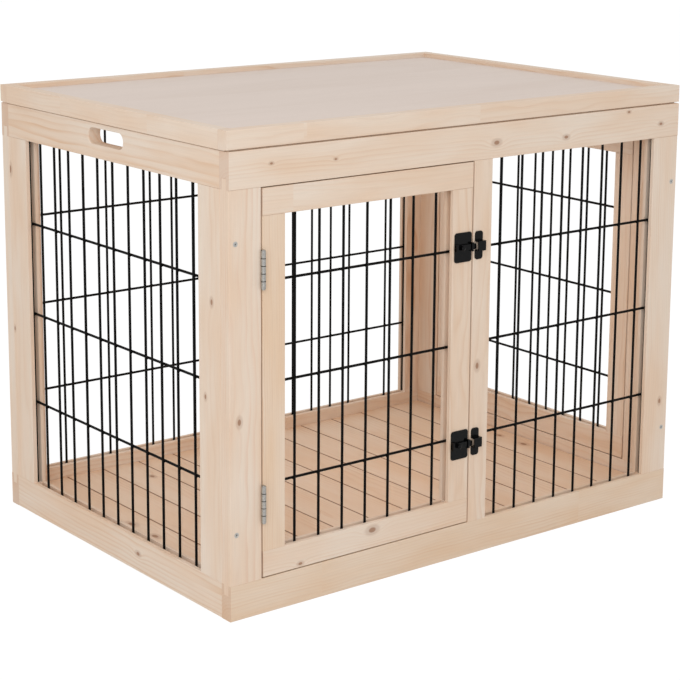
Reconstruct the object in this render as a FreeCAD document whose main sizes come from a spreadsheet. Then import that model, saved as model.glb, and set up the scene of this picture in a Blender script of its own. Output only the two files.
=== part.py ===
import FreeCAD, Part
import os
import sys
import Sketcher

# Dog crate end table: a solid-wood box of grilled frames under a tray-like tabletop.
# The front frame holds a hinged door and a fixed grille, the right side is a second door,
# the left side and the back are fixed grilles, and the floor is tongue-and-groove boards.
#
# Millimetres, +Z up.  The origin is the centre of the footprint, at floor level, and the
# front faces -Y.  Every side is laid out in its own panel coordinates: x runs along it from
# the left end as seen from outside, y goes inwards from its outer face, z goes up.

SIZES = {
    # the box
    "crate_width": 820.0,
    "crate_depth": 592.0,
    "crate_height": 622.0,
    "board_thickness": 20.0,
    "rail_width": 49.0,
    "stile_width": 50.0,
    "side_stile_width": 50.0,
    "post_width": 33.5,
    "post_from_left": 412.0,
    "edge_round": 1.0,
    # bridle joints: stile tenons in open mortises of the rails
    "tenon_thickness": 10.0,
    "tenon_length": 15.0,
    "joint_clearance": 0.1,
    # welded wire grilles and the grooves that hold them
    "wire_diameter": 3.7,
    "weld_sink": 0.4,
    "wire_pitch": 40.0,
    "crossbar_pitch": 136.5,
    "wire_entry": 6.0,
    "edge_wire_inset": 3.5,
    "edge_wire_end_gap": 0.5,
    "groove_lip": 6.1,
    "groove_width": 7.8,
    "groove_depth": 8.0,
    "wire_lip_clearance": 0.2,
    "least_wire_margin": 6.0,
    "bay_first_wire": 23.4,
    "front_door_first_wire": 21.2,
    "right_door_first_wire": 29.5,
    "left_first_wire": 29.7,
    "back_first_wire": 38.5,
    # doors
    "door_member_width": 36.0,
    "door_tenon_length": 12.0,
    "hinge_gap": 2.0,
    "latch_gap": 2.3,
    "door_end_gap": 1.5,
    # butt hinges
    "hinge_length": 50.0,
    "hinge_low_inset": 102.0,
    "hinge_high_inset": 105.0,
    "hinge_barrel_radius": 3.2,
    "hinge_pin_radius": 1.6,
    "hinge_pin_clearance": 0.05,
    "hinge_pin_head_radius": 2.4,
    "hinge_pin_head_height": 1.2,
    "hinge_leaf_thickness": 0.9,
    "hinge_leaf_reach": 16.0,
    "hinge_face_clearance": 0.2,
    "hinge_leaf_clearance": 0.3,
    "knuckle_clearance": 0.3,
    # slide bolts and their keepers
    "latch_offset": 142.5,
    "latch_plate_width": 31.0,
    "latch_plate_height": 42.0,
    "latch_plate_edge": 2.0,
    "latch_sheet": 1.2,
    "latch_corner_radius": 4.0,
    "loop_width": 3.0,
    "loop_wall": 1.8,
    "bolt_height": 8.0,
    "bolt_thickness": 3.0,
    "bolt_clearance": 0.3,
    "bolt_tail_inset": 1.0,
    "bolt_tip_gap": 0.7,
    "bolt_tip_chamfer": 1.2,
    "knob_radius": 3.0,
    "knob_from_plate_left": 10.5,
    "knob_height": 3.5,
    "keeper_from_edge": 2.4,
    "keeper_width": 14.0,
    "keeper_height": 40.0,
    "keeper_hump_height": 14.0,
    "keeper_hump_rise": 8.5,
    "keeper_corner_radius": 4.0,
    # hand slots in the side frames' top rails
    "hand_slot_length": 91.0,
    "hand_slot_height": 22.5,
    "hand_slot_below_top": 18.5,
    "hand_slot_round": 1.5,
    # floor
    "floor_top": 29.0,
    "floor_thickness": 10.0,
    "floor_chamfer": 1.2,
    "floor_tongue": 4.0,
    "floor_tongue_thickness": 3.4,
    "floor_clearance": 0.15,
    "cleat_width": 18.0,
    "cleat_above_ground": 2.0,
    "bearer_width": 40.0,
    "floor_end_gap": 0.3,
    # tabletop
    "top_side_overhang": 2.0,
    "top_front_overhang": -2.0,
    "rim_height": 27.0,
    "rim_thickness": 18.0,
    "shadow_gap": 2.2,
    "shadow_depth": 5.0,
    "side_shadow_gap": 1.2,
    "panel_recess": 7.0,
    "panel_thickness": 9.0,
    "panel_clearance": 0.2,
    "batten_width": 18.0,
    "batten_below_rail_top": 9.0,
    "batten_end_inset": 60.0,
    "ledge_height": 14.0,
    "dowel_radius": 3.0,
    "dowel_length": 24.0,
    "dowel_rise": 5.5,
    # screws: long ones join the frames, short ones fix battens and cleats, small ones fittings
    "frame_screw_inset": 118.0,
    "frame_screw_radius": 1.8,
    "frame_screw_head_radius": 3.6,
    "frame_screw_length": 48.0,
    "short_screw_inset": 30.0,
    "short_screw_radius": 1.6,
    "short_screw_head_radius": 3.1,
    "short_screw_length": 30.0,
    "small_screw_radius": 0.9,
    "small_screw_head_radius": 1.9,
    "small_screw_length": 12.0,
    "leaf_screw_inset": 5.0,
    "leaf_screw_spread": 15.0,
    "plate_screw_inset_x": 6.5,
    "plate_screw_inset_z": 5.0,
    "screw_hole_clearance": 0.05,
}

FLOOR_BOARDS = 12
KNUCKLES = 5

doc = FreeCAD.newDocument("dog_crate_end_table")
sheet = doc.addObject("Spreadsheet::Sheet", "Sizes")
for row, alias in enumerate(SIZES, start=1):
    sheet.set("A%d" % row, alias)
    sheet.set("B%d" % row, str(SIZES[alias]))
    sheet.setAlias("B%d" % row, alias)
doc.recompute()


class Size:
    """A length: its spreadsheet expression and its present value."""

    def __init__(self, text, value):
        self.text = text
        self.value = value

    @staticmethod
    def of(thing):
        return thing if isinstance(thing, Size) else Size("%r" % float(thing), float(thing))

    def __add__(self, other):
        other = Size.of(other)
        return Size("(%s + %s)" % (self.text, other.text), self.value + other.value)

    def __sub__(self, other):
        other = Size.of(other)
        return Size("(%s - %s)" % (self.text, other.text), self.value - other.value)

    def __mul__(self, other):
        other = Size.of(other)
        return Size("(%s * %s)" % (self.text, other.text), self.value * other.value)

    def __truediv__(self, other):
        other = Size.of(other)
        return Size("(%s / %s)" % (self.text, other.text), self.value / other.value)

    def __neg__(self):
        return Size("(0 - %s)" % self.text, -self.value)


class Sheet:
    """The driving dimensions as Size values, by name."""

    def __getattr__(self, name):
        return Size("Sizes." + name, SIZES[name])


S = Sheet()
ZERO = Size.of(0)

width = S.crate_width
depth = S.crate_depth
height = S.crate_height
board = S.board_thickness
opening_low = S.rail_width
opening_high = height - S.rail_width
mid_height = height / 2
stile_right = width - S.stile_width
post_right = S.post_from_left + S.post_width
side_stile = S.side_stile_width
side_near = board + side_stile
side_far = depth - board - side_stile
tenon_face = (board - S.tenon_thickness) / 2


class Panel:
    """A side of the crate: where its coordinates start and their quarter turns about Z."""

    def __init__(self, origin_x, origin_y, quarter_turns):
        self.origin_x = origin_x
        self.origin_y = origin_y
        self.quarter_turns = quarter_turns
        self.rotation = FreeCAD.Rotation(FreeCAD.Vector(0, 0, 1), 90.0 * quarter_turns)

    def world(self, x, y):
        turned = [(x, y), (-y, x), (-x, -y), (y, -x)][self.quarter_turns]
        return self.origin_x + turned[0], self.origin_y + turned[1]

    def direction(self, axis):
        return self.rotation.multVec(UNIT[axis])


UNIT = {"x": FreeCAD.Vector(1, 0, 0), "y": FreeCAD.Vector(0, 1, 0), "z": FreeCAD.Vector(0, 0, 1)}
UPRIGHT = FreeCAD.Rotation()
ALONG = {
    "x": FreeCAD.Rotation(UNIT["y"], 90),
    "-x": FreeCAD.Rotation(UNIT["y"], -90),
    "y": FreeCAD.Rotation(UNIT["x"], -90),
    "-y": FreeCAD.Rotation(UNIT["x"], 90),
    "z": UPRIGHT,
}
# a sketch's X, Y and pad direction: y, z and x of the panel, or x, z and -y of it
SECTION_ALONG_X = FreeCAD.Rotation(UNIT["y"], UNIT["z"], UNIT["x"], "XYZ")
FACE_ON = FreeCAD.Rotation(UNIT["x"], UNIT["z"], UNIT["y"] * -1, "XYZ")

FRONT = Panel(-width / 2, -depth / 2, 0)
RIGHT = Panel(width / 2, -depth / 2, 1)
BACK = Panel(width / 2, depth / 2, 2)
LEFT = Panel(-width / 2, depth / 2, 3)

nodes = {}


def bind(thing, prop, size):
    thing.setExpression(prop, Size.of(size).text)


def place(thing, panel, x, y, z, turn=UPRIGHT):
    """Puts an object at a panel point, given its own turn and then the panel's."""
    thing.Placement = FreeCAD.Placement(FreeCAD.Vector(), panel.rotation.multiply(turn))
    world_x, world_y = panel.world(Size.of(x), Size.of(y))
    bind(thing, "Placement.Base.x", world_x)
    bind(thing, "Placement.Base.y", world_y)
    bind(thing, "Placement.Base.z", z)


def box(panel, x, y, z, length, across, rise):
    """A block with its least corner at a panel point."""
    thing = doc.addObject("Part::Box", "Block")
    bind(thing, "Length", length)
    bind(thing, "Width", across)
    bind(thing, "Height", rise)
    place(thing, panel, x, y, z)
    return thing


def rod(panel, axis, x, y, z, radius, length):
    """A cylinder that starts at a panel point and runs along a panel axis."""
    thing = doc.addObject("Part::Cylinder", "Rod")
    bind(thing, "Radius", radius)
    bind(thing, "Height", length)
    place(thing, panel, x, y, z, ALONG[axis])
    return thing


def cone(panel, axis, x, y, z, first_radius, last_radius, length):
    """A cone that starts at a panel point and runs along a panel axis."""
    thing = doc.addObject("Part::Cone", "Cone")
    bind(thing, "Radius1", first_radius)
    bind(thing, "Radius2", last_radius)
    bind(thing, "Height", length)
    place(thing, panel, x, y, z, ALONG[axis])
    return thing


def outline(panel, x, y, z, turn, points, length):
    """A body padded from a closed sketch of straight lines through points (u, v), none of
    them negative, each held by two dimensions bound to the spreadsheet."""
    body = doc.addObject("PartDesign::Body", "Section")
    drawing = body.newObject("Sketcher::SketchObject", "Outline")
    plane = [item for item in body.Origin.OriginFeatures if item.Role == "XY_Plane"][0]
    drawing.AttachmentSupport = [(plane, "")]
    drawing.MapMode = "FlatFace"
    corners = [FreeCAD.Vector(u.value, v.value, 0) for u, v in points]
    count = len(corners)
    drawing.addGeometry([Part.LineSegment(corners[i], corners[(i + 1) % count])
                         for i in range(count)])
    held = [Sketcher.Constraint("Coincident", i, 2, (i + 1) % count, 1) for i in range(count)]
    bound = []
    for index, (u, v) in enumerate(points):
        for axis, kind, size in ((-2, "DistanceX", u), (-1, "DistanceY", v)):
            if size.value == 0:
                held.append(Sketcher.Constraint("PointOnObject", index, 1, axis))
            else:
                bound.append((len(held), size))
                held.append(Sketcher.Constraint(kind, -1, 1, index, 1, size.value))
    drawing.addConstraint(held)
    for number, size in bound:
        bind(drawing, "Constraints[%d]" % number, size)
    pad = body.newObject("PartDesign::Pad", "Pad")
    pad.Profile = drawing
    bind(pad, "Length", length)
    place(body, panel, x, y, z, turn)
    return body


def fuse(things):
    if len(things) == 1:
        return things[0]
    thing = doc.addObject("Part::MultiFuse", "Fusion")
    thing.Shapes = things
    return thing


def cut(base, tools):
    if not tools:
        return base
    thing = doc.addObject("Part::Cut", "Cut")
    thing.Base = base
    thing.Tool = fuse(tools)
    return thing


def rounded(base, direction, radius, wanted=None):
    """Rounds the straight edges of a shape that run along a direction, or the wanted ones."""
    doc.recompute()
    picked = []
    for index, edge in enumerate(base.Shape.Edges, start=1):
        along = edge.tangentAt(edge.FirstParameter)
        chosen = wanted(edge) if wanted else abs(along.dot(direction)) > 0.999
        if chosen:
            picked.append((index, radius.value, radius.value))
    thing = doc.addObject("Part::Fillet", "Rounded")
    thing.Base = base
    thing.Edges = picked
    return thing


def node(name, things):
    """Names a finished sub-part; several separate solids of one kind become one group."""
    if isinstance(things, list):
        group = doc.addObject("Part::Compound", "Group")
        group.Links = things
        things = group
    things.Label = name
    nodes[name] = things


# ---------------------------------------------------------------- joinery and grilles

def rail(panel, x, z, length, rise, inner_up, mortises, grooves, tenon_length):
    """A horizontal member.  Its inner edge, the upper one when inner_up, has open mortises for
    the stiles' tenons and a groove for the grille, each given as (x, length)."""
    blank = rounded(box(panel, x, ZERO, z, length, board, rise), panel.direction("x"), S.edge_round)
    play = S.joint_clearance
    cuts = []
    for start, run in mortises:
        low = z + rise - tenon_length - play if inner_up else z
        cuts.append(box(panel, start, tenon_face - play, low, run, S.tenon_thickness + play * 2,
                        tenon_length + play))
    for start, run in grooves:
        low = z + rise - S.groove_depth if inner_up else z
        cuts.append(box(panel, start, S.groove_lip, low, run, S.groove_width, S.groove_depth))
    return cut(blank, cuts)


def stile(panel, x, across, low, high, tenon_length, groove_sides):
    """A vertical member between two rails, with a tenon at each end and a groove for a grille
    on its named sides."""
    rise = high - low
    blank = rounded(box(panel, x, ZERO, low, across, board, rise), panel.direction("z"), S.edge_round)
    tenon = box(panel, x, tenon_face, low - tenon_length, across, S.tenon_thickness,
                rise + tenon_length * 2)
    cuts = []
    for side in groove_sides:
        start = x if side == "left" else x + across - S.groove_depth
        cuts.append(box(panel, start, S.groove_lip, low, S.groove_depth, S.groove_width, rise))
    return cut(fuse([blank, tenon]), cuts)


def grille(panel, name, left, right, low, high, first, edge_wires):
    """A welded wire grille: uprights at one pitch, three crossbars welded behind them, and on a
    fixed grille one more upright hidden in each stile's groove."""
    radius = S.wire_diameter / 2
    upright_y = S.groove_lip + S.wire_lip_clearance + radius
    crossbar_y = upright_y + S.wire_diameter - S.weld_sink
    room = (right - left - first - S.least_wire_margin).value
    count = int(room / S.wire_pitch.value) + 1
    wires = []
    for index in range(count):
        wires.append(rod(panel, "z", left + first + S.wire_pitch * index, upright_y,
                         low - S.wire_entry, radius, high - low + S.wire_entry * 2))
    if edge_wires:
        for x in (left - S.edge_wire_inset, right + S.edge_wire_inset):
            wires.append(rod(panel, "z", x, upright_y, low + S.edge_wire_end_gap, radius,
                             high - low - S.edge_wire_end_gap * 2))
    reach = S.edge_wire_inset + radius
    for step in (-1, 0, 1):
        wires.append(rod(panel, "x", left - reach, crossbar_y, mid_height + S.crossbar_pitch * step,
                         radius, right - left + reach * 2))
    node(name, fuse(wires))


# ---------------------------------------------------------------- screws
# A screw's spot is (panel, direction, x, y, z, kind), at the middle of its head's face.

SCREW_KINDS = {
    "frame": (S.frame_screw_radius, S.frame_screw_head_radius, S.frame_screw_length),
    "short": (S.short_screw_radius, S.short_screw_head_radius, S.short_screw_length),
    "small": (S.small_screw_radius, S.small_screw_head_radius, S.small_screw_length),
}


def countersunk(spot, play):
    """A countersunk screw, or with play all round it the hole that it sits in."""
    panel, direction, x, y, z, kind = spot
    radius, head_radius, length = SCREW_KINDS[kind]
    head = cone(panel, direction, x, y, z, head_radius + play, radius + play, head_radius - radius)
    shank = rod(panel, direction, x, y, z, radius + play, length + play)
    return fuse([head, shank])


def screws(spots):
    return [countersunk(spot, ZERO) for spot in spots]


def drilled(base, spots):
    return cut(base, [countersunk(spot, S.screw_hole_clearance) for spot in spots])


def frame_spots(panel, x):
    """Long screws through a front or back stile into the side frame behind it."""
    return [(panel, "y", x, ZERO, z, "frame")
            for z in (S.frame_screw_inset, height - S.frame_screw_inset)]


def short_spots(panel, across, z):
    """Short screws from inside the crate through a batten or cleat into a rail, one near each
    end of the batten and one in the middle."""
    first = board + S.batten_end_inset + S.short_screw_inset
    return [(panel, "-y", x, board + across, z, "short") for x in (first, width / 2, width - first)]


def batten_spots(panel):
    return short_spots(panel, S.batten_width, height - S.batten_below_rail_top / 2)


def cleat_spots(panel):
    middle = (S.cleat_above_ground + S.floor_top - S.floor_thickness) / 2
    return short_spots(panel, S.cleat_width, middle)


def hinge_spots(panel, frame_edge, on_door):
    """Small screws in the hinge leaves, sunk flush in the gap between frame and door."""
    x = frame_edge + S.hinge_gap - S.hinge_leaf_thickness if on_door else frame_edge + S.hinge_leaf_thickness
    direction = "x" if on_door else "-x"
    return [(panel, direction, x, S.hinge_leaf_reach - S.leaf_screw_inset,
             centre + S.leaf_screw_spread * step, "small")
            for centre in hinge_centres() for step in (-1, 1)]


def plate_spots(panel, door_edge):
    """Small screws in the four corners of each latch plate."""
    right = door_edge - S.latch_plate_edge
    left = right - S.latch_plate_width
    half = S.latch_plate_height / 2 - S.plate_screw_inset_z
    return [(panel, "y", x, -S.latch_sheet, centre + half * step, "small")
            for centre in latch_centres() for step in (-1, 1)
            for x in (left + S.plate_screw_inset_x, right - S.plate_screw_inset_x)]


def keeper_spots(panel, frame_edge):
    """Small screws in the two ears of each keeper."""
    x = frame_edge + S.keeper_from_edge + S.keeper_width / 2
    half = S.keeper_height / 2 - S.plate_screw_inset_z
    return [(panel, "y", x, -S.latch_sheet, centre + half * step, "small")
            for centre in latch_centres() for step in (-1, 1)]


def hinge_centres():
    door_low = opening_low + S.door_end_gap
    door_high = opening_high - S.door_end_gap
    return [door_low + S.hinge_low_inset, door_high - S.hinge_high_inset]


def latch_centres():
    return [mid_height - S.latch_offset, mid_height + S.latch_offset]


# ---------------------------------------------------------------- fixed frames

def front_frame():
    """Full-width rails, two stiles and a post; the bay right of the post holds a grille."""
    mortises = [(ZERO, S.stile_width), (S.post_from_left, S.post_width), (stile_right, S.stile_width)]
    bay = [(post_right, stile_right - post_right)]
    bottom = rail(FRONT, ZERO, ZERO, width, S.rail_width, True, mortises, bay, S.tenon_length)
    top = rail(FRONT, ZERO, opening_high, width, S.rail_width, False, mortises, bay, S.tenon_length)
    left = stile(FRONT, ZERO, S.stile_width, opening_low, opening_high, S.tenon_length, [])
    right = stile(FRONT, stile_right, S.stile_width, opening_low, opening_high, S.tenon_length, ["left"])
    post = stile(FRONT, S.post_from_left, S.post_width, opening_low, opening_high, S.tenon_length,
                 ["right"])
    node("front_bottom_rail", drilled(bottom, cleat_spots(FRONT)))
    node("front_top_rail", drilled(top, batten_spots(FRONT)))
    node("front_left_stile", drilled(left, frame_spots(FRONT, board / 2)
                                     + hinge_spots(FRONT, S.stile_width, False)))
    node("front_right_stile", drilled(right, frame_spots(FRONT, width - board / 2)))
    node("front_post", drilled(post, keeper_spots(FRONT, S.post_from_left)))
    grille(FRONT, "front_bay_grille", post_right, stile_right, opening_low, opening_high,
           S.bay_first_wire, True)


def back_frame():
    """Full-width rails and two stiles around one wide grille."""
    mortises = [(ZERO, S.stile_width), (stile_right, S.stile_width)]
    field = [(S.stile_width, stile_right - S.stile_width)]
    bottom = rail(BACK, ZERO, ZERO, width, S.rail_width, True, mortises, field, S.tenon_length)
    top = rail(BACK, ZERO, opening_high, width, S.rail_width, False, mortises, field, S.tenon_length)
    right = stile(BACK, ZERO, S.stile_width, opening_low, opening_high, S.tenon_length, ["right"])
    left = stile(BACK, stile_right, S.stile_width, opening_low, opening_high, S.tenon_length, ["left"])
    node("back_bottom_rail", drilled(bottom, cleat_spots(BACK)))
    node("back_top_rail", drilled(top, batten_spots(BACK)))
    node("back_right_stile", drilled(right, frame_spots(BACK, board / 2)))
    node("back_left_stile", drilled(left, frame_spots(BACK, width - board / 2)))
    grille(BACK, "back_grille", S.stile_width, stile_right, opening_low, opening_high,
           S.back_first_wire, True)


def with_hand_slot(panel, blank):
    """Cuts a round-ended slot through a side frame's top rail, to lift the crate by, and eases
    its edges on both faces."""
    radius = S.hand_slot_height / 2
    half = S.hand_slot_length / 2 - radius
    z = height - S.hand_slot_below_top
    tools = [box(panel, depth / 2 - half, ZERO, z - radius, half * 2, board, S.hand_slot_height)]
    for x in (depth / 2 - half, depth / 2 + half):
        tools.append(rod(panel, "y", x, ZERO, z, radius, board))
    slotted = cut(blank, tools)

    def on_rim(edge):
        centre = edge.CenterOfMass
        in_face = edge.BoundBox.XLength < 0.01
        near_slot = abs(centre.y) < S.hand_slot_length.value / 2 + 1
        return in_face and near_slot and abs(centre.z - z.value) < radius.value + 1

    return rounded(slotted, UNIT["y"], S.hand_slot_round, on_rim)


def side_frame(panel, prefix, near, far, grooved):
    """Rails and stiles of a side, between the front and back frames.  near and far are the
    (name, screw spots) of the stile at the panel's left and right end."""
    inner = depth - board * 2
    mortises = [(board, side_stile), (side_far, side_stile)]
    field = [(side_near, side_far - side_near)] if grooved else []
    node(prefix + "_bottom_rail", rail(panel, board, ZERO, inner, S.rail_width, True, mortises, field,
                                       S.tenon_length))
    top = rail(panel, board, opening_high, inner, S.rail_width, False, mortises, field, S.tenon_length)
    node(prefix + "_top_rail", with_hand_slot(panel, top))
    for (name, spots), x, side in ((near, board, "right"), (far, side_far, "left")):
        upright = stile(panel, x, side_stile, opening_low, opening_high, S.tenon_length,
                        [side] if grooved else [])
        node(name, drilled(upright, spots))


# ---------------------------------------------------------------- door fittings

def hinge_leaf(panel, frame_edge, centre, on_door):
    """A butt-hinge leaf in the gap between frame and door, with the knuckles that it carries.
    The hinge line is in the middle of the gap, and the barrel stands clear of the outer face."""
    axis_x = frame_edge + S.hinge_gap / 2
    axis_y = -(S.hinge_face_clearance + S.hinge_barrel_radius)
    low = centre - S.hinge_length / 2
    leaf_x = frame_edge + S.hinge_gap - S.hinge_leaf_thickness if on_door else frame_edge
    leaf_y = axis_y + S.hinge_barrel_radius + S.hinge_leaf_clearance
    parts = [box(panel, leaf_x, leaf_y, low, S.hinge_leaf_thickness, S.hinge_leaf_reach - leaf_y,
                 S.hinge_length)]
    pitch = S.hinge_length / KNUCKLES
    rise = pitch - S.knuckle_clearance
    for index in range(1 if on_door else 0, KNUCKLES, 2):
        start = low + pitch * index + S.knuckle_clearance / 2
        parts.append(rod(panel, "z", axis_x, axis_y, start, S.hinge_barrel_radius, rise))
        parts.append(box(panel, leaf_x, axis_y, start, S.hinge_leaf_thickness, leaf_y - axis_y, rise))
    bore = rod(panel, "z", axis_x, axis_y, low, S.hinge_pin_radius + S.hinge_pin_clearance,
               S.hinge_length)
    spots = [spot for spot in hinge_spots(panel, frame_edge, on_door)
             if abs(spot[4].value - centre.value) < S.hinge_length.value / 2]
    return drilled(cut(fuse(parts), [bore]), spots)


def hinge_pin(panel, frame_edge, centre):
    """A pin through the knuckles, with a wider head at each end."""
    axis_x = frame_edge + S.hinge_gap / 2
    axis_y = -(S.hinge_face_clearance + S.hinge_barrel_radius)
    low = centre - S.hinge_length / 2
    head = S.hinge_pin_head_height
    return fuse([
        rod(panel, "z", axis_x, axis_y, low - head, S.hinge_pin_radius, S.hinge_length + head * 2),
        rod(panel, "z", axis_x, axis_y, low - head, S.hinge_pin_head_radius, head),
        rod(panel, "z", axis_x, axis_y, low + S.hinge_length, S.hinge_pin_head_radius, head),
    ])


def bolt_loop(panel, x, centre):
    """A bridge on the latch plate that the slide bolt runs through."""
    sheet_back = S.latch_sheet
    tall = S.bolt_height + S.bolt_clearance * 2 + S.loop_wall * 2
    rise = S.bolt_thickness + S.bolt_clearance * 2
    outer = rise + S.latch_sheet
    points = [(ZERO, ZERO), (outer, ZERO), (outer, S.loop_wall), (S.latch_sheet, S.loop_wall),
              (S.latch_sheet, tall - S.loop_wall), (outer, tall - S.loop_wall), (outer, tall),
              (ZERO, tall)]
    return outline(panel, x, -(outer + sheet_back), centre - tall / 2, SECTION_ALONG_X, points,
                   S.loop_width)


def latch_plate(panel, door_edge, centre):
    """A plate with rounded corners and a loop at either side."""
    left = door_edge - S.latch_plate_edge - S.latch_plate_width
    plate = rounded(box(panel, left, -S.latch_sheet, centre - S.latch_plate_height / 2,
                        S.latch_plate_width, S.latch_sheet, S.latch_plate_height),
                    panel.direction("y"), S.latch_corner_radius)
    loops = [bolt_loop(panel, x, centre) for x in (left, left + S.latch_plate_width - S.loop_width)]
    spots = [spot for spot in plate_spots(panel, door_edge)
             if abs(spot[4].value - centre.value) < S.latch_plate_height.value]
    return drilled(fuse([plate] + loops), spots)


def keeper(panel, frame_edge, centre):
    """A strip bent up in the middle, which the thrown bolt passes under."""
    rise = S.keeper_hump_rise
    sheet_face = rise - S.latch_sheet
    ear = (S.keeper_height - S.keeper_hump_height) / 2
    ear_top = S.keeper_height - ear
    points = [(sheet_face, ZERO), (rise, ZERO), (rise, ear + S.latch_sheet),
              (S.latch_sheet, ear + S.latch_sheet), (S.latch_sheet, ear_top - S.latch_sheet),
              (rise, ear_top - S.latch_sheet), (rise, S.keeper_height), (sheet_face, S.keeper_height),
              (sheet_face, ear_top), (ZERO, ear_top), (ZERO, ear), (sheet_face, ear)]
    strip = outline(panel, frame_edge + S.keeper_from_edge, -rise, centre - S.keeper_height / 2,
                    SECTION_ALONG_X, points, S.keeper_width)
    across = panel.direction("y")
    half = S.keeper_height.value / 2

    def at_ear_end(edge):
        along = abs(edge.tangentAt(edge.FirstParameter).dot(across)) > 0.999
        return along and abs(abs(edge.CenterOfMass.z - centre.value) - half) < 0.01

    eased = rounded(strip, across, S.keeper_corner_radius, at_ear_end)
    spots = [spot for spot in keeper_spots(panel, frame_edge)
             if abs(spot[4].value - centre.value) < S.keeper_height.value]
    return drilled(eased, spots)


def slide_bolt(panel, frame_edge, door_edge, centre):
    """A flat bolt with a chamfered tip and a round knob, just short of the keeper."""
    plate_left = door_edge - S.latch_plate_edge - S.latch_plate_width
    start = plate_left + S.bolt_tail_inset
    tip = frame_edge + S.keeper_from_edge - S.bolt_tip_gap
    run = tip - start
    tall = S.bolt_height
    edge = S.bolt_tip_chamfer
    back = S.latch_sheet + S.bolt_clearance
    points = [(ZERO, ZERO), (run - edge, ZERO), (run, edge), (run, tall - edge), (run - edge, tall),
              (ZERO, tall)]
    bar = outline(panel, start, -back, centre - tall / 2, FACE_ON, points, S.bolt_thickness)
    half = S.bolt_thickness / 2
    knob = rod(panel, "-y", plate_left + S.knob_from_plate_left, -(back + half), centre, S.knob_radius,
               half + S.knob_height)
    return fuse([bar, knob])


# ---------------------------------------------------------------- doors

def door(panel, prefix, frame_left, frame_right, first_wire):
    """A grilled door between two uprights of a frame, hinged on the left one and bolted at two
    heights to the right one."""
    left = frame_left + S.hinge_gap
    right = frame_right - S.latch_gap
    low = opening_low + S.door_end_gap
    high = opening_high - S.door_end_gap
    member = S.door_member_width
    field_left = left + member
    field_right = right - member
    mortises = [(left, member), (field_right, member)]
    field = [(field_left, field_right - field_left)]
    tenon = S.door_tenon_length
    name = prefix + "_door"
    node(name + "_bottom_rail", rail(panel, left, low, right - left, member, True, mortises, field, tenon))
    node(name + "_top_rail", rail(panel, left, high - member, right - left, member, False, mortises,
                                  field, tenon))
    hinge_stile = stile(panel, left, member, low + member, high - member, tenon, ["right"])
    latch_stile = stile(panel, field_right, member, low + member, high - member, tenon, ["left"])
    node(name + "_hinge_stile", drilled(hinge_stile, hinge_spots(panel, frame_left, True)))
    node(name + "_latch_stile", drilled(latch_stile, plate_spots(panel, right)))
    grille(panel, name + "_grille", field_left, field_right, low + member, high - member, first_wire,
           False)
    centres = hinge_centres()
    node(prefix + "_hinge_frame_leaves", [hinge_leaf(panel, frame_left, c, False) for c in centres])
    node(prefix + "_hinge_door_leaves", [hinge_leaf(panel, frame_left, c, True) for c in centres])
    node(prefix + "_hinge_pins", [hinge_pin(panel, frame_left, c) for c in centres])
    lower, upper = latch_centres()
    node(prefix + "_latch_plates", [latch_plate(panel, right, c) for c in (lower, upper)])
    node(prefix + "_keepers", [keeper(panel, frame_right, c) for c in (lower, upper)])
    node(prefix + "_bolt_lower", slide_bolt(panel, frame_right, right, lower))
    node(prefix + "_bolt_upper", slide_bolt(panel, frame_right, right, upper))
    node(prefix + "_door_screws", screws(hinge_spots(panel, frame_left, True) + plate_spots(panel, right)))


# ---------------------------------------------------------------- floor

def floor_board(index):
    """A board that runs front to back: a groove on its left edge, a tongue on its right edge
    unless it is the last one, and chamfers that make a V with its neighbours."""
    pitch = (width - board * 2) / FLOOR_BOARDS
    play = S.floor_clearance
    across = pitch - play
    thick = S.floor_thickness
    below = (thick - S.floor_tongue_thickness) / 2
    above = thick - below
    edge = S.floor_chamfer
    reach = S.floor_tongue
    points = [(ZERO, ZERO), (across, ZERO)]
    if index < FLOOR_BOARDS - 1:
        points += [(across, below), (across + reach, below), (across + reach, above), (across, above)]
    points += [(across, thick - edge), (across - edge, thick), (edge, thick), (ZERO, thick - edge),
               (ZERO, above + play), (reach + play, above + play), (reach + play, below - play),
               (ZERO, below - play)]
    end = board + S.floor_end_gap
    return outline(FRONT, board + pitch * index + play / 2, depth - end, S.floor_top - thick, FACE_ON,
                   points, depth - end * 2)


def floor():
    """Boards on a cleat along the front and back rails, and across the middle on a bearer that
    stands on the ground as the bottom rails do."""
    node("floor_boards", [floor_board(index) for index in range(FLOOR_BOARDS)])
    low = S.cleat_above_ground
    rise = S.floor_top - S.floor_thickness - low
    cleats = [drilled(box(panel, board, board, low, width - board * 2, S.cleat_width, rise),
                      cleat_spots(panel)) for panel in (FRONT, BACK)]
    node("floor_cleats", cleats)
    node("floor_bearer", box(FRONT, board, (depth - S.bearer_width) / 2, ZERO, width - board * 2,
                             S.bearer_width, S.floor_top - S.floor_thickness))


# ---------------------------------------------------------------- tabletop

def dowel_spots(panel):
    """Panel x of the dowels between a front or back rim board and the side rim boards."""
    side_inner = S.rim_thickness - S.top_side_overhang
    middle = side_inner - S.rim_thickness / 2
    return [middle, width - middle]


def dowels(panel, play):
    """Corner dowels, or with play the holes for them, seen from a front or back rim board."""
    joint = S.rim_thickness - S.top_front_overhang
    half = S.dowel_length / 2 + play
    return [rod(panel, "y", x, joint - half, height + S.dowel_rise, S.dowel_radius + play, half * 2)
            for x in dowel_spots(panel)]


def rim_board(panel, start, length, overhang, gap):
    """A board on edge around the top, with a rebate below its outer face that leaves a shadow
    gap above the crate."""
    blank = box(panel, start, -overhang, height, length, S.rim_thickness, S.rim_height)
    eased = rounded(blank, panel.direction("x"), S.edge_round)
    return cut(eased, [box(panel, start, -overhang, height, length, S.shadow_depth, gap)])


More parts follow.
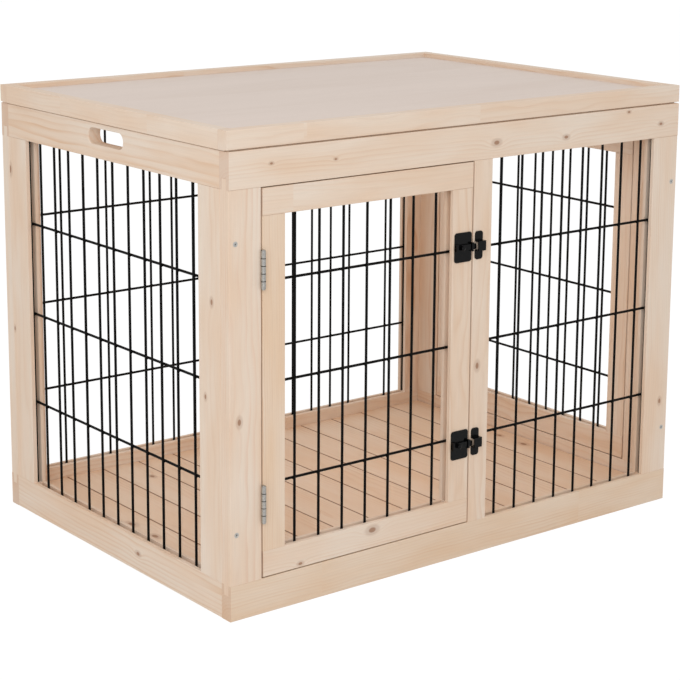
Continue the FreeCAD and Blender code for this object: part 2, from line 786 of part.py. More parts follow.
def tabletop():
    """Rim boards, the recessed panel between them, and under its edges the battens that carry
    it; those at the front and back also fix the top to the rails."""
    side = S.top_side_overhang
    front = S.top_front_overhang
    inner_x = S.rim_thickness - side
    inner_y = S.rim_thickness - front
    pins = []
    holes = dowels(FRONT, S.joint_clearance) + dowels(BACK, S.joint_clearance)
    for panel, name in ((FRONT, "top_rim_front"), (BACK, "top_rim_back")):
        rim = rim_board(panel, -side, width + side * 2, front, S.shadow_gap)
        returns = [box(panel, x, -front, height, S.shadow_depth, S.rim_thickness, S.side_shadow_gap)
                   for x in (-side, width + side - S.shadow_depth)]
        node(name, cut(rim, returns + dowels(panel, S.joint_clearance)))
        pins += dowels(panel, ZERO)
    for panel, name in ((RIGHT, "top_rim_right"), (LEFT, "top_rim_left")):
        rim = rim_board(panel, inner_y, depth - inner_y * 2, side, S.side_shadow_gap)
        node(name, cut(rim, holes))
    node("top_dowels", pins)
    low = height + S.rim_height - S.panel_recess - S.panel_thickness
    near_x = inner_x + S.panel_clearance
    near_y = inner_y + S.panel_clearance
    node("top_panel", box(FRONT, near_x, near_y, low, width - near_x * 2, depth - near_y * 2,
                          S.panel_thickness))
    bottom = height - S.batten_below_rail_top
    inset = board + S.batten_end_inset
    battens = [drilled(box(panel, inset, board, bottom, width - inset * 2, S.batten_width, low - bottom),
                       batten_spots(panel)) for panel in (FRONT, BACK)]
    ledges = [box(panel, inset, board, low - S.ledge_height, depth - inset * 2, S.batten_width,
                  S.ledge_height) for panel in (RIGHT, LEFT)]
    node("top_battens", battens + ledges)


# ---------------------------------------------------------------- the whole crate

front_frame()
back_frame()
side_frame(LEFT, "left", ("left_back_stile", frame_spots(BACK, width - board / 2)),
           ("left_front_stile", frame_spots(FRONT, board / 2)), True)
grille(LEFT, "left_grille", side_near, side_far, opening_low, opening_high, S.left_first_wire, True)
side_frame(RIGHT, "right",
           ("right_front_stile", frame_spots(FRONT, width - board / 2)
            + hinge_spots(RIGHT, side_near, False)),
           ("right_back_stile", frame_spots(BACK, board / 2) + keeper_spots(RIGHT, side_far)), False)
door(FRONT, "front", S.stile_width, S.post_from_left, S.front_door_first_wire)
door(RIGHT, "right", side_near, side_far, S.right_door_first_wire)
floor()
tabletop()
node("frame_screws", screws([spot for panel in (FRONT, BACK) for x in (board / 2, width - board / 2)
                             for spot in frame_spots(panel, x)]))
node("fixing_screws", screws([spot for panel in (FRONT, BACK)
                              for spot in batten_spots(panel) + cleat_spots(panel)]))
node("fitting_screws", screws(hinge_spots(FRONT, S.stile_width, False)
                              + hinge_spots(RIGHT, side_near, False)
                              + keeper_spots(FRONT, S.post_from_left) + keeper_spots(RIGHT, side_far)))

doc.recompute()

faults = ["%s: %s" % (item.Label, item.State) for item in doc.Objects
          if "Invalid" in item.State or "Error" in item.State]
for name, item in nodes.items():
    if item.Shape.isNull() or not item.Shape.isValid() or not item.Shape.Solids:
        faults.append("%s: bad shape" % name)
if faults:
    print("\n".join(faults))
    sys.exit(1)

os.makedirs("parts", exist_ok=True)
for name, item in nodes.items():
    item.Shape.exportStep("parts/%s.step" % name)
print("%d sub-parts" % len(nodes))
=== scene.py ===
"""Dog crate end table: finishes, small fittings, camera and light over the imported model.

Lengths are in metres, except where a comment or docstring says mm."""

import bmesh
import bpy
import math
import numpy as np
from mathutils import Matrix, Vector


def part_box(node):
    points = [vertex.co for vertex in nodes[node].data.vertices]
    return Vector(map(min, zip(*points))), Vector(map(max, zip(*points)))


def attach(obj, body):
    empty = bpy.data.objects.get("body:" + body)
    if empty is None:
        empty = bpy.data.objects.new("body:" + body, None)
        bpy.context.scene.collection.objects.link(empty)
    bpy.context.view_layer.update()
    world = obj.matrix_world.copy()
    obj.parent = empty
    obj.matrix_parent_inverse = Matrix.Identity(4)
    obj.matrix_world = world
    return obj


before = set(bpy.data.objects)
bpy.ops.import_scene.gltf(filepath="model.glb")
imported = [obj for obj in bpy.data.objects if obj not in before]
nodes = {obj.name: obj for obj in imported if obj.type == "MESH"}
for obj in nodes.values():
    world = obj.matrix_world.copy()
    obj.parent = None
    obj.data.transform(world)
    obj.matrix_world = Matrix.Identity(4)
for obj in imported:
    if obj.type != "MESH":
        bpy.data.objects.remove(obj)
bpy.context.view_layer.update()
scene = bpy.context.scene

MM = 1000.0           # in a metre
LOW, HIGH = 0.3, 0.7  # most of a noise texture's values lie between these


# ------------------------------------------------------------------ materials

def tint(hex_colour):
    """sRGB hex to linear RGBA: c/12.92 below 0.04045, else ((c + 0.055)/1.055)^2.4."""
    parts = [int(hex_colour[i:i + 2], 16) / 255 for i in (1, 3, 5)]
    return (*(c / 12.92 if c <= 0.04045 else ((c + 0.055) / 1.055) ** 2.4 for c in parts), 1.0)


def add(tree, kind, *values, stops=None, into=None, **settings):
    """Adds a node.  values go to its input sockets in order and into goes to named or numbered
    ones; each is a constant, a socket, or a node whose first live output is linked.  stops are
    a colour ramp's (place, hex colour or grey level); settings are the node's properties."""
    node = tree.nodes.new("ShaderNode" + kind)
    for key, value in settings.items():
        setattr(node, key, value)
    wanted = dict(enumerate(values))
    wanted.update(into or {})
    for key, value in wanted.items():
        if isinstance(value, bpy.types.Node):
            value = next(out for out in value.outputs if out.enabled)
        if isinstance(value, bpy.types.NodeSocket):
            tree.links.new(value, node.inputs[key])
        elif value is not None:
            node.inputs[key].default_value = value
    if stops:
        elements = node.color_ramp.elements
        while len(elements) < len(stops):
            elements.new(0.5)
        for element, (where, colour) in zip(elements, stops):
            element.position = where
            element.color = tint(colour) if isinstance(colour, str) else (colour,) * 3 + (1,)
    return node


def new_material(name, **constants):
    """A material, its node tree and its shader, with the shader's constants set."""
    material = bpy.data.materials.new(name)
    material.use_nodes = True
    shader = material.node_tree.nodes["Principled BSDF"]
    for key, value in constants.items():
        shader.inputs[key.replace("_", " ")].default_value = value
    return material, material.node_tree, shader


def connect(tree, shader, **nodes_by_socket):
    """Links each node's first live output to the shader's socket of that name."""
    for socket, node in nodes_by_socket.items():
        out = next(out for out in node.outputs if out.enabled)
        tree.links.new(out, shader.inputs[socket.replace("_", " ")])


def planed_spruce(name, order, centre, length, seed, pale="#E6D5C4", warm="#E3C9B1",
                  line="#D2A882", spacing=3.6, pith=(8, 60), lean=0.0, strength=0.6, ends=0.4,
                  knots=(), joins=(), boards=None):
    """Planed spruce, clear matt finish.  The eye sees pale, slightly pink earlywood, thin tan
    latewood lines that run with the board or arch where the tree leaned, fibre streaks and a
    few brown knots; end grain is darker.

    order gives the face, thickness and length axes, centre and length the board's in mm.  The
    growth rings are the distance from a pith line, in mm, divided by the ring spacing.  pith is
    that line's offset across the face and through the thickness, and lean tips it along the
    board.  ends is how dark the end grain is, knots are (x, y, z, radius) in mm, joins are
    finger joints along the board, and boards is (first edge, pitch) of separate boards across
    the face, with brown shadow in their V joints."""
    material, tree, shader = new_material(name, Roughness=0.6, IOR=1.5, Specular_IOR_Level=0.3)
    place = add(tree, "TexCoord").outputs["Object"]
    millimetres = add(tree, "VectorMath", place, operation="SCALE", into={"Scale": MM})
    centred = add(tree, "VectorMath", millimetres, centre, operation="SUBTRACT")
    split = add(tree, "SeparateXYZ", centred)
    across, through, along = (split.outputs[i] for i in order)

    # every board, and every finger-jointed piece of one, comes from another place in the log
    hop = seam = None
    for number, join in enumerate(joins):
        step = add(tree, "Math", along, join, operation="GREATER_THAN")
        step = add(tree, "Math", step, 31.0 + 13.0 * number, operation="MULTIPLY")
        hop = step if hop is None else add(tree, "Math", hop, step, operation="ADD")
    if boards:
        first, pitch = boards
        number = add(tree, "Math", across, first, operation="SUBTRACT")
        number = add(tree, "Math", number, pitch, operation="DIVIDE")
        number = add(tree, "Math", number, operation="FLOOR")
        hop = add(tree, "Math", number, 61.0, operation="MULTIPLY")
        middle = add(tree, "Math", number, pitch, operation="MULTIPLY")
        middle = add(tree, "Math", middle, first + pitch / 2, operation="ADD")
        across = add(tree, "Math", across, middle, operation="SUBTRACT")
        seam = add(tree, "Math", across, operation="ABSOLUTE")
        seam = add(tree, "MapRange", seam, pitch / 2 - 1.7, pitch / 2 - 0.9, 0.0, 1.0)
    log = add(tree, "CombineXYZ", across, through, along)
    offset = (seed * 211.0 % 977, seed * 97.0 % 613, seed * 1431.0 % 3011)
    log = add(tree, "VectorMath", log, offset, operation="ADD")
    if hop is not None:
        far = add(tree, "Math", hop, 41.0, operation="MULTIPLY")
        jump = add(tree, "CombineXYZ", hop, hop, far)
        log = add(tree, "VectorMath", log, jump, operation="ADD")

    # the grain wanders by up to about 12 mm over a long stretch and ripples by 2 mm
    slow = add(tree, "Mapping", log, into={"Scale": (1 / 80, 1 / 80, 1 / 380)})
    slow = add(tree, "TexNoise", slow, into={"Scale": 1.0, "Detail": 2.0, "Roughness": 0.45})
    slow = add(tree, "VectorMath", slow.outputs["Color"], (0.5, 0.5, 0.5), operation="SUBTRACT")
    slow = add(tree, "VectorMath", slow, operation="SCALE", into={"Scale": 24.0})
    slow = add(tree, "SeparateXYZ", slow)
    ripple = add(tree, "Mapping", log, into={"Scale": (1 / 22, 1 / 22, 1 / 70)})
    ripple = add(tree, "TexNoise", ripple, into={"Scale": 1.0, "Detail": 1.0})
    ripple = add(tree, "Math", ripple, 0.5, operation="SUBTRACT")
    ripple = add(tree, "Math", ripple, 4.0, operation="MULTIPLY")
    u = add(tree, "Math", across, slow.outputs[0], operation="ADD")
    u = add(tree, "Math", u, float(pith[0]), operation="ADD")
    v = add(tree, "Math", through, slow.outputs[1], operation="ADD")
    v = add(tree, "Math", v, float(pith[1]), operation="ADD")
    tip = add(tree, "Math", along, lean, operation="MULTIPLY")
    v = add(tree, "Math", tip, v, operation="ADD")

    # a knot pushes the grain aside, and is a brown heart in a soft tan ring
    dark = None
    squash = [1.0, 1.0, 1.0]
    squash[order[2]] = 0.6
    for x, y, z, radius in knots:
        off = add(tree, "VectorMath", millimetres, (x, y, z), operation="SUBTRACT")
        off = add(tree, "VectorMath", off, tuple(squash), operation="MULTIPLY")
        near = add(tree, "VectorMath", off, operation="LENGTH").outputs["Value"]
        bulge = add(tree, "Math", near, radius * 3.2, operation="DIVIDE")
        bulge = add(tree, "Math", bulge, 2.0, operation="POWER")
        bulge = add(tree, "Math", bulge, -1.0, operation="MULTIPLY")
        bulge = add(tree, "Math", bulge, operation="EXPONENT")
        bulge = add(tree, "Math", bulge, radius * 2.6, operation="MULTIPLY")
        u = add(tree, "Math", bulge, u, operation="ADD")
        heart = add(tree, "MapRange", near, radius * 0.6, radius * 1.1, 0.8, 0.25,
                    interpolation_type="SMOOTHSTEP")
        ring = add(tree, "MapRange", near, radius * 1.3, radius * 2.4, 1.0, 0.0,
                   interpolation_type="SMOOTHSTEP")
        spot = add(tree, "Math", heart, ring, operation="MULTIPLY")
        dark = spot if dark is None else add(tree, "Math", dark, spot, operation="MAXIMUM")

    # growth rings: a year is pale, then darkens slowly to a thin late line
    radial = add(tree, "CombineXYZ", u, v, 0.0)
    radial = add(tree, "VectorMath", radial, operation="LENGTH").outputs["Value"]
    radial = add(tree, "Math", radial, ripple, operation="ADD")
    rings = add(tree, "Math", radial, spacing, operation="DIVIDE")
    late = add(tree, "Math", rings, operation="FRACT")
    late = add(tree, "ValToRGB", late, stops=[(0.0, 0.25), (0.14, 0.0), (0.5, 0.1), (0.84, 0.8),
                                              (0.92, 1.0), (1.0, 0.3)])
    # some years are stronger than others, and lines fade in and out along the board
    year = add(tree, "Math", rings, 0.31, operation="MULTIPLY")
    year = add(tree, "TexNoise", noise_dimensions="1D",
               into={"W": year, "Scale": 1.0, "Detail": 1.0})
    year = add(tree, "MapRange", year, 0.36, 0.64, 0.1, 1.0)
    fade = add(tree, "Mapping", log, into={"Scale": (1 / 30, 1 / 30, 1 / 160)})
    fade = add(tree, "TexNoise", fade, into={"Scale": 1.0, "Detail": 2.0})
    fade = add(tree, "MapRange", fade, 0.35, 0.65, 0.25, 1.0)
    for factor in (year, fade, strength):
        late = add(tree, "Math", late, factor, operation="MULTIPLY")

    # fibres, drawn about 1 mm wide and 60 mm long, coarser than real so that they show
    fibre = add(tree, "Mapping", log, into={"Scale": (1.0, 1.0, 1 / 60)})
    fibre = add(tree, "TexNoise", fibre, into={"Scale": 1.0, "Detail": 3.0, "Roughness": 0.6})
    # cloudy tone over half a hand's breadth
    cloud = add(tree, "Mapping", log, into={"Scale": (1 / 45, 1 / 45, 1 / 200)})
    cloud = add(tree, "TexNoise", cloud, into={"Scale": 1.0, "Detail": 2.0})
    cloud = add(tree, "MapRange", cloud, 0.34, 0.66, 0.0, 1.0)
    wood = add(tree, "MixRGB", cloud, tint(pale), tint(warm))
    wood = add(tree, "MixRGB", late, wood, tint(line))
    shade = add(tree, "MapRange", fibre, LOW, HIGH, 0.955, 1.03)
    wood = add(tree, "MixRGB", 1.0, wood, shade, blend_type="MULTIPLY")
    # end grain drinks more finish
    end = add(tree, "Math", along, operation="ABSOLUTE")
    end = add(tree, "Math", end, length / 2 - 0.5, operation="GREATER_THAN")
    end = add(tree, "Math", end, ends, operation="MULTIPLY")
    wood = add(tree, "MixRGB", end, wood, tint("#C8A084"))
    if dark is not None:
        wood = add(tree, "MixRGB", dark, wood, tint("#8F5F3E"))
    if seam is not None:
        seam = add(tree, "Math", seam, 0.85, operation="MULTIPLY")
        wood = add(tree, "MixRGB", seam, wood, tint("#7A4A2C"))
    relief = add(tree, "Math", fibre, late, operation="SUBTRACT")
    bump = add(tree, "Bump", into={"Strength": 0.2, "Distance": 0.0002, "Height": relief})
    rough = add(tree, "MapRange", fibre, LOW, HIGH, 0.55, 0.68)
    connect(tree, shader, Base_Color=wood, Normal=bump, Roughness=rough)
    return material


def sanded_plywood(name):
    """Rotary-cut veneer on plywood, sanded, clear matt.  The eye sees a plain greyish beige
    sheet with broad soft flames and fine pores along its length."""
    material, tree, shader = new_material(name, Roughness=0.55, IOR=1.5, Specular_IOR_Level=0.3)
    place = add(tree, "TexCoord").outputs["Object"]
    # flames 420 mm long and 67 mm wide, pores 25 mm long and 1.4 mm wide
    broad = add(tree, "Mapping", place, into={"Scale": (2.4, 15.0, 15.0)})
    broad = add(tree, "TexNoise", broad, into={"Scale": 1.0, "Detail": 3.0, "Distortion": 0.6})
    pores = add(tree, "Mapping", place, into={"Scale": (40.0, 700.0, 700.0)})
    pores = add(tree, "TexNoise", pores, into={"Scale": 1.0, "Detail": 2.0})
    sheet = add(tree, "ValToRGB", broad, stops=[(LOW, "#E2D2C7"), (0.5, "#E0D0C5"),
                                                (HIGH, "#DDCCC0")])
    shade = add(tree, "MapRange", pores, LOW, HIGH, 0.98, 1.015)
    sheet = add(tree, "MixRGB", 1.0, sheet, shade, blend_type="MULTIPLY")
    bump = add(tree, "Bump", into={"Strength": 0.15, "Distance": 0.0001, "Height": pores})
    connect(tree, shader, Base_Color=sheet, Normal=bump)
    return material


def powder_coat(name, colour, roughness, peel_mm, specular):
    """Black powder-coated steel.  The eye sees a satin black with a faint orange peel, whose
    grain is drawn peel_mm wide."""
    material, tree, shader = new_material(name, Roughness=roughness, Specular_IOR_Level=specular)
    place = add(tree, "TexCoord").outputs["Object"]
    peel = add(tree, "TexNoise", place, into={"Scale": MM / peel_mm, "Detail": 2.0})
    shade = add(tree, "MapRange", peel, LOW, HIGH, 0.75, 1.25)
    coat = add(tree, "MixRGB", 1.0, tint(colour), shade, blend_type="MULTIPLY")
    bump = add(tree, "Bump", into={"Strength": 0.25, "Distance": 0.0001, "Height": peel})
    rough = add(tree, "MapRange", peel, LOW, HIGH, roughness - 0.06, roughness + 0.08)
    connect(tree, shader, Base_Color=coat, Normal=bump, Roughness=rough)
    return material


KNUCKLES = 5.0
SLIT = 0.12           # of a knuckle's length: 1.2 mm, wider than real so that it shows


def zinc_plate(name, dark, light, barrels=()):
    """Zinc-plated steel.  The eye sees a dull grey metal, mottled over a millimetre or two.
    barrels are the (lowest, highest) heights of hinge barrels: the slits between their
    knuckles get painted shade, a dark line."""
    material, tree, shader = new_material(name, Metallic=1.0, Roughness=0.4)
    place = add(tree, "TexCoord").outputs["Object"]
    mottle = add(tree, "TexNoise", place, into={"Scale": 700.0, "Detail": 3.0})
    plate = add(tree, "ValToRGB", mottle, stops=[(LOW, dark), (HIGH, light)])
    height = add(tree, "SeparateXYZ", place).outputs[2]
    for lowest, highest in barrels:
        knuckle = add(tree, "MapRange", height, lowest, highest, 0.0, KNUCKLES, clamp=False)
        inside = add(tree, "Math", knuckle, KNUCKLES / 2, KNUCKLES / 2 - 0.1,
                     operation="COMPARE")
        slit = add(tree, "Math", knuckle, 0.5, operation="ADD")
        slit = add(tree, "Math", slit, operation="FRACT")
        slit = add(tree, "Math", slit, 0.5, SLIT / 2, operation="COMPARE")
        slit = add(tree, "Math", slit, inside, operation="MULTIPLY")
        slit = add(tree, "Math", slit, 0.85, operation="MULTIPLY")
        # painted shade: a dark brown-grey line in each slit between knuckles
        plate = add(tree, "MixRGB", slit, plate, tint("#2A2724"))
    bump = add(tree, "Bump", into={"Strength": 0.2, "Distance": 0.0001, "Height": mottle})
    rough = add(tree, "MapRange", mottle, LOW, HIGH, 0.32, 0.5)
    connect(tree, shader, Base_Color=plate, Normal=bump, Roughness=rough)
    return material


def finish(node_name, material):
    """Gives a node of the frame its one material."""
    mesh = nodes[node_name].data
    mesh.materials.clear()
    mesh.materials.append(material)


# ------------------------------------------------------------------ boards

# what is special about a board; the rest is plain, straight-grained and numbered by its place
BOARDS = {
    "front_top_rail": dict(
        pith=(70, 40), spacing=5.0, strength=0.45,
        knots=[(-343.8, -296, 602, 1.6), (-240.7, -296, 597.9, 1.4), (303.3, -296, 617, 1.8),
               (372.3, -296, 594.1, 2.2), (41.8, -296, 594.6, 3.4), (176.1, -296, 590.9, 2.6)]),
    "front_bottom_rail": dict(
        pale="#E3CFBA", warm="#DFC2A5", pith=(26, 14), lean=0.012, spacing=4.2, strength=0.55,
        joins=(-260.0, 225.0)),
    "front_left_stile": dict(
        pith=(90, 240), spacing=4.2, strength=0.75, line="#D9AE90",
        knots=[(-395, -296, 269.6, 3.0)]),
    "front_right_stile": dict(pith=(80, 60), strength=0.4, knots=[(393.4, -296, 161.1, 2.6)]),
    "front_post": dict(
        pith=(40, 200), spacing=4.0, strength=0.35, knots=[(13.6, -296, 278.9, 3.2)]),
    "left_top_rail": dict(pith=(4, 13), lean=0.02, spacing=9.0, strength=0.55, line="#D2A070"),
    "left_bottom_rail": dict(
        pith=(-16, 10), lean=0.016, spacing=6.6, strength=0.6, line="#CFA174",
        knots=[(-410, -68.7, 26.2, 2.8)]),
    "left_front_stile": dict(
        pith=(60, 200), strength=0.35,
        knots=[(-410, -256.4, 423.1, 2.6), (-410, -240.7, 293.9, 2.2)]),
    "left_back_stile": dict(
        pith=(60, 200), strength=0.35,
        knots=[(-410, 274.3, 524.5, 4.0), (-410, 273.2, 281.3, 2.2)]),
    "front_door_top_rail": dict(pith=(60, 90), strength=0.4, joins=(-309.2,)),
    "front_door_bottom_rail": dict(
        pith=(30, 20), lean=0.01, spacing=4.4, strength=0.5,
        knots=[(-296.7, -296, 55.6, 2.2), (-173.6, -296, 75.9, 4.2)]),
    "front_door_hinge_stile": dict(
        pale="#E4D0BC", warm="#E2C6AA", pith=(120, 60), strength=0.5),
    "top_rim_front": dict(
        pith=(60, 200), strength=0.35, ends=0.1, joins=(-291.0, -286.0, 12.0)),
    "top_rim_left": dict(pith=(90, 100), strength=0.35, joins=(-110.0, 118.3)),
    "top_rim_right": dict(joins=(-60.0, 120.0)),
    "top_rim_back": dict(ends=0.1, joins=(-100.0, 180.0)),
    "right_back_stile": dict(pith=(90, 220), spacing=4.4, strength=0.9),
    "right_door_hinge_stile": dict(pith=(90, 160), spacing=4.4, strength=0.8),
    "back_right_stile": dict(pith=(20, 160), spacing=4.8, strength=0.9, line="#C79468"),
}

# boards of several solids: the order of their face, thickness and length axes as well
GROUPS = {
    "floor_boards": dict(
        order=(0, 2, 1), pale="#E9D3BD", warm="#E5C8AC", spacing=4.0, pith=(12, 40),
        strength=0.6, boards=(-390.0, 65.0),
        knots=[(364, 32, 29, 3.6), (364, -27.5, 29, 4.4), (-357.5, 32.4, 29, 5.0),
               (-357.5, -30.1, 29, 4.4), (-217.4, 198.7, 29, 3.6)]),
    "floor_cleats": dict(order=(2, 1, 0)),
    "top_battens": dict(order=(2, 1, 0)),
    "top_dowels": dict(order=(0, 2, 1)),
}

for seed, name in enumerate(sorted(nodes), start=5):
    low, high = (np.array(corner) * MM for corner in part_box(name))
    spans = high - low
    if name in GROUPS:
        facts = dict(GROUPS[name])
        order = facts.pop("order")
    elif name.endswith(("rail", "stile", "post", "bearer")) or "_rim_" in name:
        facts = dict(BOARDS.get(name, {}))
        thickness, face, length = np.argsort(spans)
        order = (int(face), int(thickness), int(length))
    else:
        continue
    middle = tuple(float(c) for c in (low + high) / 2)
    joins = [join - middle[order[2]] for join in facts.pop("joins", ())]
    finish(name, planed_spruce("planed spruce " + name.replace("_", " "), order, middle,
                               float(spans[order[2]]), seed, joins=joins, **facts))

HINGE_LENGTH, PIN_HEAD = 0.05, 0.0012
lowest_pin, highest_pin = (corner[2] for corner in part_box("front_hinge_pins"))
low_barrel = lowest_pin + PIN_HEAD
high_barrel = highest_pin - PIN_HEAD
black_wire = powder_coat("black powder-coated wire", "#030303", 0.55, 1.5, 0.12)
black_fitting = powder_coat("black enamelled latch steel", "#040405", 0.2, 2.0, 0.18)
zinc_hinge = zinc_plate("zinc-plated hinge steel", "#A3A19C", "#C9C8C4",
                        [(low_barrel, low_barrel + HINGE_LENGTH),
                         (high_barrel - HINGE_LENGTH, high_barrel)])
zinc_head = zinc_plate("zinc-plated screw steel", "#B5B4B0", "#DAD9D5")
# painted shade: near-black zinc stands in for the shade inside the screws' cross recesses
screw_drive_painted_shade = zinc_plate("painted shade of screw drives", "#1F1E1D", "#33312F")
finish("top_panel", sanded_plywood("sanded plywood top"))
for name in nodes:
    if name.endswith("grille"):
        finish(name, black_wire)
    elif "_bolt_" in name or name.endswith(("latch_plates", "keepers", "door_screws",
                                            "fitting_screws")):
        finish(name, black_fitting)
    elif name.endswith(("leaves", "pins")):
        finish(name, zinc_hinge)
    elif name in ("frame_screws", "fixing_screws"):
        finish(name, zinc_head)


# ------------------------------------------------------------------ small fittings

def piece(name, points, faces, material, body, slot):
    """An object from points and faces: coincident points at poles and seams are merged, and the
    faces are turned outwards."""
    mesh = bpy.data.meshes.new(name)
    mesh.from_pydata(np.asarray(points).tolist(), [], np.asarray(faces).tolist())
    work = bmesh.new()
    work.from_mesh(mesh)
    bmesh.ops.remove_doubles(work, verts=work.verts, dist=1e-6)
    bmesh.ops.recalc_face_normals(work, faces=work.faces)
    work.to_mesh(mesh)
    work.free()
    mesh.polygons.foreach_set("use_smooth", [True] * len(mesh.polygons))
    mesh.materials.append(material)
    thing = bpy.data.objects.new(name, mesh)
    scene.collection.objects.link(thing)
    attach(thing, body)


def turn_angles(columns):
    """Angles t once round, as a row."""
    return np.arange(columns)[None, :] * 2 * math.pi / columns


def copies(one, centres):
    """Points and quads of a grid surface, closed round its columns, set at every centre."""
    rows, columns = one.shape[:2]
    i, j = np.meshgrid(np.arange(rows - 1), np.arange(columns), indexing="ij")
    here, after = i * columns, (i + 1) * columns
    right = (j + 1) % columns
    quads = np.stack([here + j, here + right, after + right, after + j], -1).reshape(1, -1, 4)
    starts = np.arange(len(centres)) * rows * columns
    points = np.asarray(centres)[:, None, :] + one.reshape(1, -1, 3)
    return points.reshape(-1, 3), (quads + starts[:, None, None]).reshape(-1, 4)


CROSSBARS = np.array([174.5, 311.0, 447.5])  # heights in mm
BEAD_RADIUS, BEAD_DEPTH = 0.0028, 0.0015


def weld_beads(name, along, plane, places, body):
    """Flattened beads of melted steel where crossbars lie on uprights: each is the ellipsoid
    (a cos v cos t, c sin v, a cos v sin t), a = 2.8 mm and c = 1.5 mm, its c along the grille's
    normal, at every pairing of an upright's place and a crossbar's height.  plane and places
    are in mm."""
    v = np.linspace(-math.pi / 2, math.pi / 2, 7)[:, None]
    t = turn_angles(10)
    flat = BEAD_RADIUS * np.cos(v) * np.cos(t)
    tall = BEAD_RADIUS * np.cos(v) * np.sin(t)
    deep = BEAD_DEPTH * np.sin(v) * np.ones_like(t)
    at, up = (a.ravel() for a in np.meshgrid(places, CROSSBARS))
    fixed = np.full_like(at, plane)
    if along == "x":
        one, centres = np.stack([flat, deep, tall], -1), np.stack([at, fixed, up], -1)
    else:
        one, centres = np.stack([deep, flat, tall], -1), np.stack([fixed, at, up], -1)
    piece(name, *copies(one, centres / MM), black_wire, body, "black_wire")


BOARD_FACE = 0.296    # from the middle of the crate to the front and back faces
SCREW_ACROSS, SCREW_HEIGHTS = 0.4, (0.118, 0.504)
DRIVE_HEIGHT = 0.00005


def screw_drives(name, side):
    """Cross recesses of the long screws, drawn as dark shallow lenses on their flush heads,
    which are
    painted shade of the recesses: each has the outline r(t) = 0.5 + 1.4 |cos 2t|^5 mm and the
    height
    0.05 (1.2 - s^2) mm, s from the middle to the outline.  side is -1 at the front and 1 at the
    back."""
    s = np.linspace(0, 1, 4)[:, None]
    t = turn_angles(32)
    r = (0.5 + 1.4 * np.abs(np.cos(2 * t)) ** 5) * s / MM
    out = side * DRIVE_HEIGHT * (1.2 - s ** 2) * np.ones_like(t)
    one = np.stack([r * np.cos(t + 0.5), out, r * np.sin(t + 0.5)], -1)
    centres = [(x, side * BOARD_FACE, z)
               for x in (-SCREW_ACROSS, SCREW_ACROSS) for z in SCREW_HEIGHTS]
    piece(name, *copies(one, centres), screw_drive_painted_shade, "frame", "zinc_screw")


CAP_RADIUS, CAP_HEIGHT = 0.0035, 0.0019


def knob_cap(bolt, centre, out):
    """A rounded cap on a slide bolt's knob: a dome r = 3.5 cos v, h = 1.9 sin v mm above a short
    skirt that comes back in to the knob.  centre is in mm and out points away from the door."""
    v = np.linspace(-0.9, math.pi / 2, 12)[:, None]
    t = turn_angles(28)
    r = CAP_RADIUS * np.cos(v) * np.ones_like(t)
    h = CAP_HEIGHT * np.sin(v) * np.ones_like(t)
    side = np.array((-out[1], out[0], 0.0))
    up = np.array((0, 0, 1.0))
    one = ((r * np.cos(t))[..., None] * side + (r * np.sin(t))[..., None] * up
           + h[..., None] * np.array(out))
    piece(bolt + "_knob_cap", *copies(one, [np.array(centre) / MM]), black_fitting, bolt,
          "black_latch")


WIRE_PITCH = 40       # mm, as are the numbers that follow
FRONT_PLANE, SIDE_PLANE = 286.2, 400.2
WIDE_EDGE, SIDE_EDGE = 363.5, 229.5  # uprights in the stiles' grooves
KNOB_HEIGHTS = {"lower": 168.5, "upper": 453.5}


def uprights(first, count):
    """Places of a grille's uprights, one wire pitch apart."""
    return first + WIRE_PITCH * np.arange(count)


# each grille's name, the way it runs, its crossbars' plane, its uprights' places and its body
for grille, along, plane, places, body in (
        ("front_bay", "x", -FRONT_PLANE, np.r_[32.0, uprights(58.9, 8), WIDE_EDGE], "frame"),
        ("front_door", "x", -FRONT_PLANE, uprights(-300.8, 7), "front_door"),
        ("back", "x", FRONT_PLANE, np.r_[-WIDE_EDGE, uprights(-318.5, 17), WIDE_EDGE], "frame"),
        ("left", "y", -SIDE_PLANE, np.r_[-SIDE_EDGE, uprights(-203.7, 11), SIDE_EDGE], "frame"),
        ("right_door", "y", SIDE_PLANE, uprights(-158.5, 9), "right_door")):
    weld_beads(grille + "_weld_beads", along, plane, places, body)
screw_drives("front_screw_drives", -1)
screw_drives("back_screw_drives", 1)
for level, height in KNOB_HEIGHTS.items():
    knob_cap("front_bolt_" + level, (-22.8, -304.0, height), (0, -1.0, 0))
    knob_cap("right_bolt_" + level, (418.0, 201.2, height), (1.0, 0, 0))


# ------------------------------------------------------------------ floor, light and camera

WHITE = (1, 1, 1, 1)
PAPER = 0.86          # what white paper gives back of the light
PAPER_REACH = 9       # m, from the middle
PAPER_GLOW = 1.08     # as the camera sees it
SKY = 0.8             # strength of the sky that lights the surfaces
FRAME_PIXELS = 680
SENSOR = 36           # mm, for the whole frame
LENS_PIXELS = 1918.0


def studio_floor():
    """A white sweep: diffuse white paper that the camera sees lit up to white."""
    mesh = bpy.data.meshes.new("studio_floor")
    corners = [(x * PAPER_REACH, y * PAPER_REACH, 0)
               for x, y in ((-1, -1), (1, -1), (1, 1), (-1, 1))]
    mesh.from_pydata(corners, [], [(0, 1, 2, 3)])
    floor = bpy.data.objects.new("studio_floor", mesh)
    scene.collection.objects.link(floor)
    material, tree, shader = new_material("white studio paper", Roughness=0.9,
                                          Base_Color=(PAPER, PAPER, PAPER, 1))
    glow = add(tree, "Emission", WHITE, PAPER_GLOW)
    seen = add(tree, "LightPath").outputs["Is Camera Ray"]
    seen = add(tree, "Math", seen, PAPER, operation="MULTIPLY")
    mix = add(tree, "MixShader", seen, shader.outputs[0], glow)
    tree.links.new(mix.outputs[0], tree.nodes["Material Output"].inputs["Surface"])
    mesh.materials.append(material)


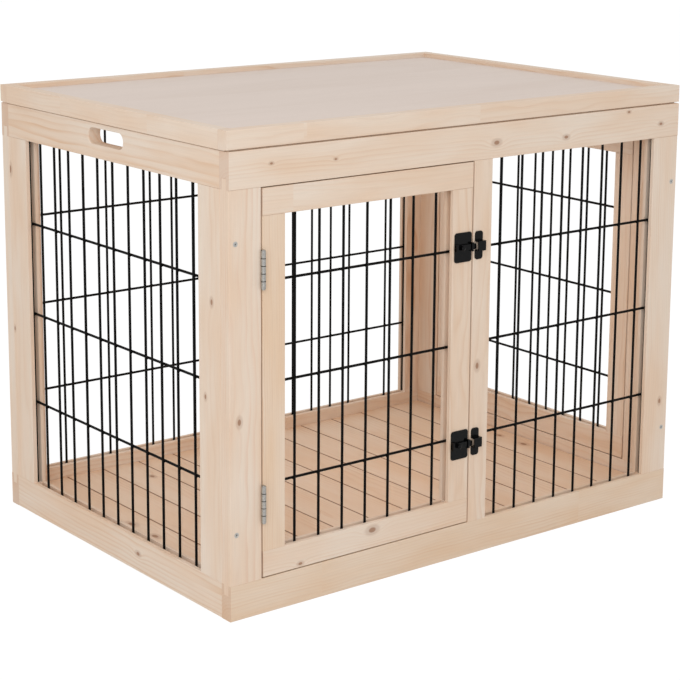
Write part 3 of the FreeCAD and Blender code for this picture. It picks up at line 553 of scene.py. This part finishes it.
def softbox(name, place, target, size, power, colour="#FFFFFF"):
    """A rectangular light of some watts that shines from place towards target."""
    light = bpy.data.lights.new(name, "AREA")
    light.shape = "RECTANGLE"
    light.size, light.size_y = size
    light.energy = power
    light.color = tint(colour)[:3]
    lamp = bpy.data.objects.new(name, light)
    lamp.location = place
    aim = Vector(target) - Vector(place)
    lamp.rotation_euler = aim.to_track_quat("-Z", "Y").to_euler()
    lamp.visible_camera = False
    scene.collection.objects.link(lamp)


def white_studio():
    """The camera sees plain white all round; the surfaces get a slightly dimmer sky."""
    world = bpy.data.worlds.new("white studio")
    scene.world = world
    world.use_nodes = True
    tree = world.node_tree
    background = tree.nodes["Background"]
    background.inputs["Color"].default_value = WHITE
    seen = add(tree, "LightPath").outputs["Is Camera Ray"]
    strength = add(tree, "MapRange", seen, 0.0, 1.0, SKY, 1.0)
    tree.links.new(strength.outputs[0], background.inputs["Strength"])


def photograph_camera():
    """The photograph's view: azimuth 37.9 degrees, 11.5 degrees down, rolled 0.4 degrees.  The
    shift is small, so that the object stays whole in the other views; the photograph's upright
    edges are parallel, and here they draw together by a few pixels towards the floor."""
    azimuth, elevation, roll = (math.radians(a) for a in (37.9, -11.459, 0.365))
    forward = Vector((math.sin(azimuth) * math.cos(elevation),
                      math.cos(azimuth) * math.cos(elevation), math.sin(elevation)))
    level = Vector((math.cos(azimuth), -math.sin(azimuth), 0))
    rise = level.cross(forward)
    right = level * math.cos(roll) + rise * math.sin(roll)
    up = rise * math.cos(roll) - level * math.sin(roll)
    data = bpy.data.cameras.new("photograph")
    data.sensor_width = SENSOR
    data.lens = LENS_PIXELS / FRAME_PIXELS * SENSOR
    data.shift_y = -0.15
    data.clip_end = 50
    camera = bpy.data.objects.new("photograph", data)
    turn = Matrix((right, up, -forward)).transposed().to_4x4()
    camera.matrix_world = Matrix.Translation((-1.7486, -2.2428, 0.9925)) @ turn
    scene.collection.objects.link(camera)
    scene.camera = camera


studio_floor()
white_studio()
softbox("key", place=(-2.0, -2.0, 1.7), target=(-0.2, -0.1, 0.35), size=(1.6, 1.6), power=22)
# a warm, weak fill under the tabletop, as the floor is nearly as bright as the front
softbox("inside_fill", place=(0, 0, 0.6), target=(0, 0.01, 0), size=(0.6, 0.4), power=0.8,
        colour="#FFE2CC")
photograph_camera()
scene.view_settings.view_transform = "Standard"
